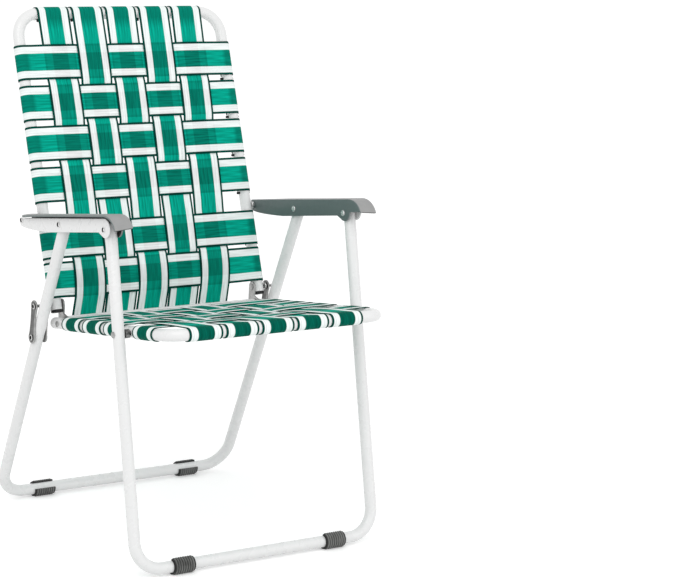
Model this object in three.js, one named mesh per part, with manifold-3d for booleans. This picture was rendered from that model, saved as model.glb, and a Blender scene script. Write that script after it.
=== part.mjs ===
import * as THREE from 'three';
import { mergeVertices } from 'three/addons/utils/BufferGeometryUtils.js';
import Module from 'manifold-3d';

// Folding webbed lawn chair. Millimetres, +Z up, floor at Z = 0, the sitter faces -Y.

// Tubes
const tubeDiameter = 19;
const tubeWall = 1.2;
const tubeSides = 14;
const boreSides = 6;
const barDiameter = 16;
const bendSteps = 5;
const weldTolerance = 1e-4;

// Leg frames, seen from the side: places along Y and heights
const legClearance = 9.25;
const legCornerRadius = 45;
const frontRunnerY = -231;
const rearRunnerY = 231;
const frontPivotY = -119;
const frontPivotHeight = 530;
const rearPivotY = 25;
const rearPivotHeight = 513;
const frontLegOverrun = 9;
const rearLegOverrun = 4;
const seatPivotHeight = 372;
const linkPivotHeight = 312;

// Seat frame
const seatSpan = 392;
const seatCornerRadius = 34;
const seatRearY = 101.6;
const seatRearHeight = 334.3;
const seatSlope = THREE.MathUtils.degToRad(8.72);
const seatLength = 372;
const crossbarSetback = 9;
const crossbarRise = 2;

// Back frame
const backCornerRadius = 41;
const backPivotY = 102;
const backPivotHeight = 365;
const backTilt = THREE.MathUtils.degToRad(19.77);
const backLength = 485;
const backTailLength = 9;
const armPinUpBack = 142;

// Webbing
const strapWidth = 57;
const strapThickness = 1.2;
const backColumnPitch = 63;
const seatColumnPitch = 64;
const seatColumnShift = -5;
const columns = 5;
const backTopRowInset = 84.4;
const backRowPitch = 68.2;
const backLowRowPitch = 64;
const seatRearRowInset = 69.9;
const seatRowPitch = 68.3;
const rowClearance = 4.9;
const wrapTurn = THREE.MathUtils.degToRad(240);
const wrapSteps = 10;
const seamGap = 0.6;

// Armrests, measured from the front pivot along the line to the rear pin
const armWidth = 32;
const armTopAtFront = 23.2;
const armTopAtRear = 9.4;
const armCapThickness = 4.2;
const armPlateDrop = 5.7;
const armSkirt = 3;
const armNoseReach = 48.5;
const armNoseStart = 14;
const armNoseBend = 40;
const armNoseDrop = 19.5;
const armLipWall = 4;
const earRadius = 15.2;
const earForward = 2.5;
const earEnd = THREE.MathUtils.degToRad(306);
const skirtFrontU = 17;
const skirtFrontDepth = 5;
const bellyU = 180;
const bellyDepth = 14.5;
const armTailRadius = 10;
const armTailReach = 7;
const sidePlate = 2.5;

// Hinge plates, rivets and bushes
const linkPlate = 2.5;
const linkLobe = 10;
const linkWaist = 6.5;
const bracketPlate = 2.5;
const bracketLobe = 9;
const bracketReach = 24;
const bracketThroat = 13;
const bracketToe = THREE.MathUtils.degToRad(108);
const rivetRadius = 2.5;
const rivetHeadRadius = 5;
const rivetHeadHeight = 2;
const headShoulderOut = 0.75;
const headShoulderRise = 0.65;
const rivetSides = 8;
const holeSides = 8;
const bushRadius = 7;
const pinCollarRadius = 6;
const tubeHoleLength = 38;
const plateHoleLength = 112;

// Feet and plugs
const footInset = 14.25;
const footLength = 44;
const footWall = 2.6;
const footFlat = 0.8;
const footSlot = 9;
const footSlotTurn = THREE.MathUtils.degToRad(40);
const footRibs = 6;
const footRibHeight = 0.9;
const footSides = 14;
const plugFlange = 2.5;
const plugInsert = 3.5;

// Clearances
const gap = 0.3;
const holeClearance = 0.4;
const weaveGap = 0.3;
const pinGap = 0.5;

// Sizes that follow from the driving ones
const tubeRadius = tubeDiameter / 2;
const barRadius = barDiameter / 2;
const backSpan = seatSpan;
const legSpan = seatSpan + 2 * (tubeDiameter + legClearance);
const legX = legSpan / 2;
const seatX = seatSpan / 2;
const backX = backSpan / 2;
const footX = legX - legCornerRadius - footInset - footLength / 2;
const footRadius = tubeRadius + gap + footWall;
const runnerHeight = footRadius + footRibHeight - footFlat;
const wrapRadius = tubeRadius + gap + strapThickness / 2;
const weaveStep = strapThickness + weaveGap;
const sides = { left: -1, right: 1 };

const paintedWhite = { color: 0xf3f3f1, roughness: 0.35, metalness: 0.1 };
const webbingGreen = { color: 0x00936f, roughness: 0.7, metalness: 0 };
const armGrey = { color: 0x5c6567, roughness: 0.55, metalness: 0 };
const footGrey = { color: 0x4b5053, roughness: 0.6, metalness: 0 };
const zincSteel = { color: 0x9b9b97, roughness: 0.35, metalness: 0.9 };
const plugBlack = { color: 0x17181a, roughness: 0.6, metalness: 0 };

const wasm = await Module();
wasm.setup();

const chair = new THREE.Group();
chair.name = 'folding_webbed_lawn_chair';

function addPart(name, geometry, finish) {
  const mesh = new THREE.Mesh(geometry, new THREE.MeshStandardMaterial(finish));
  mesh.name = name;
  chair.add(mesh);
}

// Solids: closed meshes with shared vertices, joined and cut exactly

function weld(geometry) {
  const bare = geometry.clone();
  bare.deleteAttribute('normal');
  bare.deleteAttribute('uv');
  return mergeVertices(bare, weldTolerance);
}

function toSolid(geometry) {
  const welded = weld(geometry);
  const vertProperties = new Float32Array(welded.attributes.position.array);
  const triVerts = new Uint32Array(welded.index.array);
  return new wasm.Manifold(new wasm.Mesh({ numProp: 3, vertProperties, triVerts }));
}

function toGeometry(solid) {
  const mesh = solid.getMesh();
  const geometry = new THREE.BufferGeometry();
  geometry.setAttribute('position', new THREE.BufferAttribute(mesh.vertProperties.slice(), 3));
  geometry.setIndex(new THREE.BufferAttribute(mesh.triVerts.slice(), 1));
  return geometry;
}

function cut(geometry, tools) {
  let solid = toSolid(geometry);
  for (const tool of tools) solid = solid.subtract(toSolid(tool));
  return toGeometry(solid);
}

function crossHole(place, x, length) {
  const radius = rivetRadius + holeClearance;
  const hole = new THREE.CylinderGeometry(radius, radius, length, holeSides);
  hole.rotateZ(Math.PI / 2);
  hole.translate(x, place.x, place.y);
  return hole;
}

// Side view: a Vector2 holds (Y, Z)

function alongLine(from, to, height) {
  return from.clone().lerp(to, (height - from.y) / (to.y - from.y));
}

const frontFoot = new THREE.Vector2(frontRunnerY, runnerHeight);
const rearFoot = new THREE.Vector2(rearRunnerY, runnerHeight);
const frontPivot = new THREE.Vector2(frontPivotY, frontPivotHeight);
const rearPivot = new THREE.Vector2(rearPivotY, rearPivotHeight);
const seatPivot = alongLine(frontFoot, frontPivot, seatPivotHeight);
const linkPivot = alongLine(rearFoot, rearPivot, linkPivotHeight);
const backPivot = new THREE.Vector2(backPivotY, backPivotHeight);
const seatRear = new THREE.Vector2(seatRearY, seatRearHeight);

const seatForward = new THREE.Vector2(-Math.cos(seatSlope), Math.sin(seatSlope));
const seatUp = new THREE.Vector2(Math.sin(seatSlope), Math.cos(seatSlope));
const backUp = new THREE.Vector2(Math.sin(backTilt), Math.cos(backTilt));
const backFront = new THREE.Vector2(-Math.cos(backTilt), Math.sin(backTilt));

function onSeat(along, above) {
  return seatRear.clone().addScaledVector(seatForward, along).addScaledVector(seatUp, above);
}

function onBack(up, front) {
  return backPivot.clone().addScaledVector(backUp, up).addScaledVector(backFront, front);
}

const armPin = onBack(armPinUpBack, 0);
const armLength = armPin.distanceTo(frontPivot);
const armTilt = Math.atan2(armPin.y - frontPivot.y, armPin.x - frontPivot.x);
const bracketRivet = onSeat(bracketReach, 0);
const crossbar = onSeat(crossbarSetback, crossbarRise);

// Bent tubes

class TubeRoute extends THREE.Curve {
  constructor(corners, radius) {
    super();
    this.stations = [{ point: corners[0], tangent: corners[1].clone().sub(corners[0]).normalize() }];
    for (let i = 1; i < corners.length - 1; i++) this.bend(corners[i - 1], corners[i], corners[i + 1], radius);
    const last = corners[corners.length - 1];
    this.stations.push({ point: last, tangent: this.stations.at(-1).tangent.clone() });
  }

  bend(before, corner, after, radius) {
    const into = corner.clone().sub(before).normalize();
    const away = after.clone().sub(corner).normalize();
    const turn = into.angleTo(away);
    const inward = away.clone().addScaledVector(into, -into.dot(away)).normalize();
    const start = corner.clone().addScaledVector(into, -radius * Math.tan(turn / 2));
    const centre = start.clone().addScaledVector(inward, radius);
    for (let k = 0; k <= bendSteps; k++) {
      const angle = (turn * k) / bendSteps;
      const point = centre.clone().addScaledVector(inward, -radius * Math.cos(angle));
      point.addScaledVector(into, radius * Math.sin(angle));
      const tangent = into.clone().multiplyScalar(Math.cos(angle)).addScaledVector(inward, Math.sin(angle));
      this.stations.push({ point, tangent });
    }
  }

  get steps() {
    return this.stations.length - 1;
  }

  station(u) {
    return this.stations[Math.round(u * this.steps)];
  }

  getPointAt(u) {
    return this.station(u).point.clone();
  }

  getTangentAt(u) {
    return this.station(u).tangent.clone();
  }
}

function polygon(radius, count) {
  return Array.from({ length: count }, (_, i) => {
    const angle = (2 * Math.PI * i) / count;
    return new THREE.Vector2(radius * Math.cos(angle), radius * Math.sin(angle));
  });
}

function tubeAlong(route, radius) {
  const section = new THREE.Shape(polygon(radius, tubeSides));
  section.holes.push(new THREE.Path(polygon(radius - tubeWall, boreSides)));
  return new THREE.ExtrudeGeometry(section, { steps: route.steps, extrudePath: route, bevelEnabled: false });
}

function hoop(span, open, closed, radius) {
  const at = (side, place) => new THREE.Vector3((side * span) / 2, place.x, place.y);
  const corners = [at(-1, open), at(-1, closed), at(1, closed), at(1, open)];
  return tubeAlong(new TubeRoute(corners, radius), tubeRadius);
}

function legFrame(foot, pivot, overrun) {
  const top = pivot.clone().add(pivot.clone().sub(foot).setLength(overrun));
  return hoop(legSpan, top, foot, legCornerRadius);
}

function bothSides(place, x) {
  return Object.values(sides).map((side) => crossHole(place, side * x, tubeHoleLength));
}

addPart(
  'front_leg_frame',
  cut(legFrame(frontFoot, frontPivot, frontLegOverrun), [
    ...bothSides(frontPivot, legX),
    ...bothSides(seatPivot, legX),
  ]),
  paintedWhite,
);
addPart(
  'rear_leg_frame',
  cut(legFrame(rearFoot, rearPivot, rearLegOverrun), [
    ...bothSides(rearPivot, legX),
    ...bothSides(linkPivot, legX),
  ]),
  paintedWhite,
);
addPart(
  'seat_frame',
  cut(hoop(seatSpan, onSeat(0, 0), onSeat(seatLength, 0), seatCornerRadius), [
    ...bothSides(seatPivot, seatX),
    ...bothSides(bracketRivet, seatX),
  ]),
  paintedWhite,
);
addPart(
  'back_frame',
  cut(
    hoop(backSpan, onBack(-backTailLength, 0), onBack(backLength, 0), backCornerRadius),
    bothSides(backPivot, backX),
  ),
  paintedWhite,
);

// Flat plates, cut from an outline in the side view and given a thickness along X

const sideView = new THREE.Matrix4().makeBasis(
  new THREE.Vector3(0, 1, 0),
  new THREE.Vector3(0, 0, 1),
  new THREE.Vector3(1, 0, 0),
);

function plate(outline, xFrom, xTo, curveSegments = 5) {
  const depth = Math.abs(xTo - xFrom);
  const geometry = weld(new THREE.ExtrudeGeometry(outline, { depth, curveSegments, bevelEnabled: false }));
  geometry.applyMatrix4(sideView);
  geometry.translate(Math.min(xFrom, xTo), 0, 0);
  return geometry;
}

// Rivets: lathed about their own axis, laid along X with the outer head away from the seat

function lathedAlongX(profile, side, place, segments = rivetSides) {
  const geometry = weld(new THREE.LatheGeometry(profile, segments));
  geometry.rotateZ(-Math.PI / 2);
  if (side < 0) geometry.rotateZ(Math.PI);
  geometry.translate(0, place.x, place.y);
  return geometry;
}

function domedHead(x, direction) {
  const rise = direction * rivetHeadHeight;
  const rim = new THREE.Vector2(rivetHeadRadius, x);
  const shoulder = new THREE.Vector2(rivetHeadRadius * headShoulderOut, x + rise * headShoulderRise);
  return [rim, shoulder, new THREE.Vector2(0, x + rise)];
}

function rivet(side, place, xInner, xOuter) {
  const tail = domedHead(xInner, -1).reverse();
  const shank = [new THREE.Vector2(rivetRadius, xInner), new THREE.Vector2(rivetRadius, xOuter)];
  return lathedAlongX([...tail, ...shank, ...domedHead(xOuter, 1)], side, place);
}

function collaredPin(side, place, xTip, xCollar, xOuter) {
  const profile = [
    new THREE.Vector2(0, xTip),
    new THREE.Vector2(pinCollarRadius, xTip),
    new THREE.Vector2(pinCollarRadius, xCollar),
    new THREE.Vector2(rivetRadius, xCollar),
    new THREE.Vector2(rivetRadius, xOuter),
    ...domedHead(xOuter, 1),
  ];
  return lathedAlongX(profile, side, place);
}

function bush(side, place, xInner, xOuter) {
  const bore = rivetRadius + holeClearance;
  const profile = [
    new THREE.Vector2(bore, xInner),
    new THREE.Vector2(bushRadius, xInner),
    new THREE.Vector2(bushRadius, xOuter),
    new THREE.Vector2(bore, xOuter),
    new THREE.Vector2(bore, xInner),
  ];
  return lathedAlongX(profile, side, place);
}

// Layers across the width, from the seat outwards
const legInner = legX - tubeRadius;
const legOuter = legX + tubeRadius;
const innerPlateX = legInner - gap;
const outerPlateX = legOuter + gap;
const seatOuter = seatX + tubeRadius;
const backOuter = backX + tubeRadius;
const bracketX = Math.min(seatX, backX) - tubeRadius - gap;

// Armrests: a grey cap with an inner skirt and a rolled nose, closed outside by a white side plate

function armTop(u) {
  return THREE.MathUtils.lerp(armTopAtFront, armTopAtRear, u / armLength);
}

const armEnd = armLength + armTailReach;
const noseTip = armTop(-armNoseStart) - armNoseDrop;
const earRise = armTop(-earForward) - armPlateDrop - earRadius;

function traceUnderside(outline, startAngle) {
  outline.absarc(-earForward, earRise, earRadius, startAngle, earEnd, false);
  outline.lineTo(skirtFrontU, -skirtFrontDepth);
  outline.lineTo(bellyU, -bellyDepth);
  outline.quadraticCurveTo(armLength - armTailRadius * 2, -bellyDepth, armLength, -armTailRadius);
  outline.quadraticCurveTo(armEnd, -armTailRadius, armEnd, 0);
}

function sidePlateOutline() {
  const outline = new THREE.Shape();
  traceUnderside(outline, Math.PI / 2);
  outline.lineTo(armEnd, armTop(armEnd) - armPlateDrop);
  return outline;
}

function capOutline() {
  const outline = new THREE.Shape();
  outline.moveTo(-armNoseReach, noseTip);
  outline.lineTo(-armNoseReach + armLipWall, noseTip);
  traceUnderside(outline, Math.PI);
  outline.lineTo(armEnd, armTop(armEnd));
  outline.lineTo(-armNoseStart, armTop(-armNoseStart));
  outline.quadraticCurveTo(-armNoseBend, armTop(-armNoseStart), -armNoseReach, noseTip);
  return outline;
}

function capHollow() {
  const outline = new THREE.Shape();
  const floor = -bellyDepth - earRadius;
  const ceiling = (u) => armTop(u) - armCapThickness;
  const lipInside = -armNoseReach + armLipWall;
  outline.moveTo(lipInside, floor);
  outline.lineTo(armEnd * 2, floor);
  outline.lineTo(armEnd * 2, ceiling(armEnd * 2));
  outline.lineTo(-armNoseStart, ceiling(-armNoseStart));
  outline.quadraticCurveTo(armLipWall - armNoseBend, ceiling(-armNoseStart), lipInside, noseTip);
  return outline;
}

function intoArm(geometry) {
  geometry.rotateX(armTilt);
  geometry.translate(0, frontPivot.x, frontPivot.y);
  return geometry;
}

const armPins = [frontPivot, rearPivot, armPin];
const skirtX = innerPlateX - armSkirt;
const capOuterX = skirtX + armWidth;
const sidePlateX = outerPlateX + sidePlate;

for (const [name, side] of Object.entries(sides)) {
  const holes = armPins.map((place) => crossHole(place, side * legX, plateHoleLength));
  const cap = plate(capOutline(), side * skirtX, side * capOuterX);
  const hollow = plate(capHollow(), side * innerPlateX, side * (capOuterX + armWidth));
  addPart(`armrest_cap_${name}`, cut(intoArm(cap), [intoArm(hollow), ...holes]), armGrey);
  const cheek = plate(sidePlateOutline(), side * outerPlateX, side * sidePlateX);
  addPart(`armrest_side_plate_${name}`, cut(intoArm(cheek), holes), paintedWhite);
  const headsFrom = skirtX - gap;
  const headsTo = sidePlateX + gap;
  addPart(`arm_front_rivet_${name}`, rivet(side, frontPivot, headsFrom, headsTo), zincSteel);
  addPart(`arm_middle_rivet_${name}`, rivet(side, rearPivot, headsFrom, headsTo), zincSteel);
  addPart(`arm_rear_pin_${name}`, collaredPin(side, armPin, backOuter + pinGap, headsFrom, headsTo), zincSteel);
}

// Seat pivots: a rivet through leg and seat tube, with a bush that keeps the two apart

for (const [name, side] of Object.entries(sides)) {
  const pivot = rivet(side, seatPivot, seatX - tubeRadius - gap, legOuter + gap);
  addPart(`seat_pivot_rivet_${name}`, pivot, zincSteel);
  addPart(`seat_pivot_bush_${name}`, bush(side, seatPivot, seatOuter + gap, legInner - gap), zincSteel);
}

// Links: two stamped plates on each rear leg that carry the foot of the back

function linkOutline() {
  const reach = backPivot.distanceTo(linkPivot);
  const flank = linkLobe * Math.cos(Math.PI / 6);
  const shoulder = linkLobe / 2;
  const outline = new THREE.Shape();
  outline.absarc(0, reach, linkLobe, -Math.PI / 6, Math.PI * (7 / 6), false);
  outline.quadraticCurveTo(-linkWaist, reach / 2, -flank, shoulder);
  outline.absarc(0, 0, linkLobe, Math.PI * (5 / 6), Math.PI * (13 / 6), false);
  outline.quadraticCurveTo(linkWaist, reach / 2, flank, reach - shoulder);
  return outline;
}

const linkLean = Math.atan2(backPivot.y - linkPivot.y, backPivot.x - linkPivot.x) - Math.PI / 2;

function linkPlateAt(xFrom, xTo) {
  const blank = plate(linkOutline(), xFrom, xTo);
  blank.rotateX(linkLean);
  blank.translate(0, linkPivot.x, linkPivot.y);
  return cut(blank, [linkPivot, backPivot].map((place) => crossHole(place, xFrom, plateHoleLength)));
}

const linkInnerX = innerPlateX - linkPlate;
const linkOuterX = outerPlateX + linkPlate;

for (const [name, side] of Object.entries(sides)) {
  addPart(`link_outer_${name}`, linkPlateAt(side * outerPlateX, side * linkOuterX), zincSteel);
  addPart(`link_inner_${name}`, linkPlateAt(side * innerPlateX, side * linkInnerX), zincSteel);
  const lower = rivet(side, linkPivot, linkInnerX - gap, linkOuterX + gap);
  addPart(`link_lower_rivet_${name}`, lower, zincSteel);
  const tip = backOuter + gap + rivetHeadHeight + pinGap;
  const upper = collaredPin(side, backPivot, tip, linkInnerX - gap, linkOuterX + gap);
  addPart(`link_upper_pin_${name}`, upper, zincSteel);
}

// Hinge brackets: plates inside the seat rails that hold the foot of the back and the rear crossbar

function bracketOutline() {
  const foot = bracketRivet.clone().sub(backPivot);
  const heel = onSeat(0, -bracketLobe).sub(backPivot);
  const outline = new THREE.Shape();
  outline.absarc(0, 0, bracketLobe, 0, Math.PI, false);
  outline.lineTo(-bracketLobe, foot.y + bracketThroat);
  outline.absarc(foot.x, foot.y, bracketLobe, bracketToe, Math.PI * 1.5 - seatSlope, false);
  outline.lineTo(heel.x, heel.y);
  outline.lineTo(bracketLobe, heel.y + bracketLobe);
  return outline;
}

for (const [name, side] of Object.entries(sides)) {
  const blank = plate(bracketOutline(), side * bracketX, side * (bracketX - bracketPlate));
  blank.translate(0, backPivot.x, backPivot.y);
  const holes = [backPivot, bracketRivet].map((place) => crossHole(place, side * bracketX, tubeHoleLength / 2));
  addPart(`hinge_bracket_${name}`, cut(blank, holes), zincSteel);
  const headsFrom = bracketX - bracketPlate - gap;
  addPart(`hinge_rivet_${name}`, rivet(side, backPivot, headsFrom, backOuter + gap), zincSteel);
  addPart(`bracket_rivet_${name}`, rivet(side, bracketRivet, headsFrom, seatOuter + gap), zincSteel);
}

function straightBar(place, radius, halfLength) {
  const ends = [-halfLength, halfLength].map((x) => new THREE.Vector3(x, place.x, place.y));
  return tubeAlong(new TubeRoute(ends, 0), radius);
}

const barHalfLength = bracketX - bracketPlate - gap;
addPart('rear_crossbar', straightBar(crossbar, barRadius, barHalfLength), paintedWhite);

// Plugs in the open feet of the back frame

for (const [name, side] of Object.entries(sides)) {
  const flangeTop = -gap;
  const profile = [
    new THREE.Vector2(0, flangeTop - plugFlange),
    new THREE.Vector2(tubeRadius, flangeTop - plugFlange),
    new THREE.Vector2(tubeRadius, flangeTop),
    new THREE.Vector2(tubeRadius - tubeWall * 2, flangeTop),
    new THREE.Vector2(tubeRadius - tubeWall * 2, plugInsert),
    new THREE.Vector2(0, plugInsert),
  ];
  const plug = weld(new THREE.LatheGeometry(profile, tubeSides));
  plug.rotateX(Math.PI / 2 - backTilt);
  const foot = onBack(-backTailLength, 0);
  plug.translate(side * backX, foot.x, foot.y);
  addPart(`back_tube_plug_${name}`, plug, plugBlack);
}

// Ribbed feet, clipped round the runners and flat underneath

function footSleeve() {
  const half = footLength / 2;
  const inner = tubeRadius + gap;
  const pitch = footLength / (footRibs + 2);
  const profile = [new THREE.Vector2(inner, -half), new THREE.Vector2(footRadius, -half)];
  for (let i = 0; i < footRibs; i++) {
    const start = -half + pitch * (i + 1);
    profile.push(new THREE.Vector2(footRadius, start));
    profile.push(new THREE.Vector2(footRadius + footRibHeight, start + pitch / 2));
  }
  profile.push(new THREE.Vector2(footRadius, half - pitch));
  profile.push(new THREE.Vector2(footRadius, half), new THREE.Vector2(inner, half), profile[0].clone());
  return profile;
}

function belowFloor(place) {
  const size = footRadius * 4;
  const box = new THREE.BoxGeometry(footLength * 2, size, size);
  box.translate(0, place.x, -size / 2);
  return box;
}

function clipSlot(place) {
  const towardsMiddle = -Math.sign(place.x);
  const slot = new THREE.BoxGeometry(footLength * 2, footSlot, footRadius * 2);
  slot.translate(0, 0, footRadius);
  slot.rotateX(-towardsMiddle * footSlotTurn);
  slot.translate(0, place.x, place.y);
  return slot;
}

for (const [end, place] of Object.entries({ front: frontFoot, rear: rearFoot })) {
  for (const [name, side] of Object.entries(sides)) {
    const sleeve = lathedAlongX(footSleeve(), 1, place, footSides);
    const foot = cut(sleeve, [belowFloor(place), clipSlot(place)]);
    foot.translate(side * footX, 0, 0);
    addPart(`${end}_foot_${name}`, foot, footGrey);
  }
}

// Webbing: each strap is a centre line with a thickness, extruded to its width

function ribbon(line) {
  const left = [];
  const right = [];
  line.forEach((point, i) => {
    const before = line[Math.max(i - 1, 0)];
    const after = line[Math.min(i + 1, line.length - 1)];
    const into = point.equals(before) ? after.clone().sub(point) : point.clone().sub(before);
    const away = point.equals(after) ? into.clone() : after.clone().sub(point);
    const heading = into.normalize().add(away.normalize()).normalize();
    const reach = strapThickness / 2 / heading.dot(away);
    const normal = new THREE.Vector2(-heading.y, heading.x).multiplyScalar(reach);
    left.push(point.clone().add(normal));
    right.push(point.clone().sub(normal));
  });
  return new THREE.Shape([...right, ...left.reverse()]);
}

function arcPoints(centre, radius, from, to, steps) {
  return Array.from({ length: steps + 1 }, (_, i) => {
    const angle = from + ((to - from) * i) / steps;
    return new THREE.Vector2(centre.x + radius * Math.cos(angle), centre.y + radius * Math.sin(angle));
  });
}

// Rows of cross straps: as many as the straight rails hold on each side of the arm pin and of the seat pivot

function rowsBetween(first, last, pitch) {
  const count = Math.max(0, Math.floor((last - first) / pitch) + 1);
  return Array.from({ length: count }, (_, i) => first + pitch * i);
}

const pinRoom = pinCollarRadius + rowClearance + strapWidth / 2;
const pivotRoom = bushRadius + rowClearance + strapWidth / 2;
const pivotAlongSeat = seatPivot.clone().sub(seatRear).dot(seatForward);
const lastSeatRow = seatLength - seatCornerRadius - strapWidth / 2;
const backRowCentres = [
  ...rowsBetween(backLength - backTopRowInset, armPinUpBack + pinRoom, -backRowPitch),
  ...rowsBetween(armPinUpBack - pinRoom, strapWidth / 2, -backLowRowPitch),
];
const seatRowCentres = [
  ...rowsBetween(seatRearRowInset, pivotAlongSeat - pivotRoom, seatRowPitch),
  ...rowsBetween(pivotAlongSeat + pivotRoom, lastSeatRow, seatRowPitch),
];

// Levels of the weave above the tubes: a strap lies high where it passes over the crossing strap
const lowLevel = wrapRadius;
const highLevel = wrapRadius + weaveStep;
const levelOf = (over) => (over ? highLevel : lowLevel);
const rowIsOver = (column, row) => (column + row) % 2 === 0;

const columnPlaces = (pitch, shift) =>
  Array.from({ length: columns }, (_, i) => (i - (columns - 1) / 2) * pitch + shift);
const backColumns = columnPlaces(backColumnPitch, 0);
const seatColumns = columnPlaces(seatColumnPitch, seatColumnShift);

function crossStrapLine(halfSpan, columnXs, row) {
  const quarter = Math.PI / 2;
  const leftTube = new THREE.Vector2(-halfSpan, 0);
  const rightTube = new THREE.Vector2(halfSpan, 0);
  const line = arcPoints(leftTube, wrapRadius, quarter + wrapTurn, quarter, wrapSteps);
  columnXs.forEach((x, column) => {
    const level = levelOf(rowIsOver(column, row));
    line.push(new THREE.Vector2(x - strapWidth / 2, level), new THREE.Vector2(x + strapWidth / 2, level));
  });
  return [...line, ...arcPoints(rightTube, wrapRadius, quarter, quarter - wrapTurn, wrapSteps)];
}

function crossStrap(line, edge, normal) {
  const geometry = weld(new THREE.ExtrudeGeometry(ribbon(line), { depth: strapWidth, bevelEnabled: false }));
  const across = new THREE.Vector3(1, 0, 0);
  const up = new THREE.Vector3(0, normal.x, normal.y);
  const basis = new THREE.Matrix4().makeBasis(across, up, across.clone().cross(up));
  geometry.applyMatrix4(basis);
  geometry.translate(0, edge.x, edge.y);
  return geometry;
}

backRowCentres.forEach((centre, row) => {
  const line = crossStrapLine(backX, backColumns, row);
  const strap = crossStrap(line, onBack(centre + strapWidth / 2, 0), backFront);
  addPart(`back_cross_strap_${row + 1}`, strap, webbingGreen);
});

seatRowCentres.forEach((centre, row) => {
  const line = crossStrapLine(seatX, seatColumns, row);
  const strap = crossStrap(line, onSeat(centre - strapWidth / 2, 0), seatUp);
  addPart(`seat_cross_strap_${row + 1}`, strap, webbingGreen);
});

// Long straps run down the back, behind and under the rear crossbar, and forward over the seat.
// They part beside the hinge of the back, where the lower half keeps clear of the swing of the upper one.

const barWrapRadius = barRadius + gap + strapThickness / 2;

function tangentAngle(from, turn) {
  const offset = from.clone().sub(crossbar);
  return offset.angle() + turn * Math.acos(barWrapRadius / offset.length());
}

function onBar(angle) {
  return new THREE.Vector2(Math.cos(angle), Math.sin(angle)).multiplyScalar(barWrapRadius).add(crossbar);
}

function backLongLine(column) {
  const line = [];
  backRowCentres.forEach((centre, row) => {
    const level = levelOf(!rowIsOver(column, row));
    line.push(onBack(centre + strapWidth / 2, level), onBack(centre - strapWidth / 2, level));
  });
  const quarter = Math.PI / 2;
  const top = new THREE.Vector2(backLength, 0);
  const wrap = arcPoints(top, wrapRadius, quarter - wrapTurn, quarter, wrapSteps);
  return [...wrap.map((point) => onBack(point.x, point.y)), ...line];
}

function seatLongLine(column) {
  const line = [];
  seatRowCentres.forEach((centre, row) => {
    const level = levelOf(!rowIsOver(column, row));
    line.push(onSeat(centre - strapWidth / 2, level), onSeat(centre + strapWidth / 2, level));
  });
  const quarter = Math.PI / 2;
  const front = new THREE.Vector2(seatLength, 0);
  const wrap = arcPoints(front, wrapRadius, quarter, quarter - wrapTurn, wrapSteps);
  return [...line, ...wrap.map((point) => onSeat(point.x, point.y))];
}

function longStrap(line, x) {
  return plate(ribbon(line), x - strapWidth / 2, x + strapWidth / 2);
}

for (let column = 0; column < columns; column++) {
  const downBack = backLongLine(column);
  const alongSeat = seatLongLine(column);
  const backEnd = downBack.at(-1);
  const rearAngle = tangentAngle(backEnd, -1);
  const underAngle = tangentAngle(alongSeat[0], 1) - 2 * Math.PI;
  const drop = onBar(rearAngle).sub(backEnd).normalize();
  const seam = backEnd.clone().addScaledVector(drop, backPivot.clone().sub(backEnd).dot(drop));
  const swing = seam.distanceTo(backPivot) + strapThickness / 2 + seamGap;
  const aroundBar = arcPoints(crossbar, barWrapRadius, rearAngle, underAngle, wrapSteps);
  const upper = [...downBack, seam];
  const lower = [seam.clone().addScaledVector(drop, swing), ...aroundBar, ...alongSeat];
  addPart(`back_long_strap_${column + 1}`, longStrap(upper, backColumns[column]), webbingGreen);
  addPart(`seat_long_strap_${column + 1}`, longStrap(lower, seatColumns[column]), webbingGreen);
}

export default chair;
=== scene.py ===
import re
from math import acos, asin, atan2, cos, degrees, hypot, pi, radians, sin, sqrt, tan
import bpy
from mathutils import Matrix, Vector


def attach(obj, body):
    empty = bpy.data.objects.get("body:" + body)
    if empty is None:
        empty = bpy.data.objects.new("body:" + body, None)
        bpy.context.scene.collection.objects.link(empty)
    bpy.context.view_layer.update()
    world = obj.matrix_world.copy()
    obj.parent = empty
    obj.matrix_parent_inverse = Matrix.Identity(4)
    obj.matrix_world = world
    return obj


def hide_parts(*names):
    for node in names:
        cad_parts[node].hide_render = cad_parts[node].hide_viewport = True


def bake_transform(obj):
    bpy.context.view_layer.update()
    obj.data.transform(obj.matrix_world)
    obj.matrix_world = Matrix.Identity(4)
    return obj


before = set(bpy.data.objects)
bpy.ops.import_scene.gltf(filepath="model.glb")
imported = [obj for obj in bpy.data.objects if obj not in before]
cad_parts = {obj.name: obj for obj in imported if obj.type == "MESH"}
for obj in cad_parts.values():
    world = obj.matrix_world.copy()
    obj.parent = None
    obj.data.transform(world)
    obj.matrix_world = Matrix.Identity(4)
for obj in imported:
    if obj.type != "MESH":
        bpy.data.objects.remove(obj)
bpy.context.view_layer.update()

# The chair from the side: (y, z) in metres, the sitter faces -Y
chair = {
    "tubeRadius": 0.0095, "tubeWall": 0.0012, "legX": 0.22425, "railX": 0.196, "strapWidth": 0.059,
    "frontFoot": (-0.231, 0.0125), "rearFoot": (0.231, 0.0125),
    "frontPivot": (-0.119, 0.530), "rearPivot": (0.025, 0.513),
    "seatPivot": (-0.153195, 0.372), "linkPivot": (0.107729, 0.312),
    "backPivot": (0.102, 0.365), "backTilt": 19.77, "backLength": 0.485, "armPinUp": 0.142,
    "seatRear": (0.1016, 0.3343), "seatSlope": 8.72, "seatLength": 0.372,
}
sides = {"Left": -1, "Right": 1}
gap = 0.0003  # between two pieces that lie together
touch = 1e-5  # nearer than this is the same place
tubeRadius, railX, backPivot = chair["tubeRadius"], chair["railX"], chair["backPivot"]
backLength, seatLength, strapHalf = chair["backLength"], chair["seatLength"], chair["strapWidth"] / 2
backTilt = radians(chair["backTilt"])
seatSlope = radians(chair["seatSlope"])


def sidePoint(x, place):
    return Vector((x, place[0], place[1]))


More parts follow.
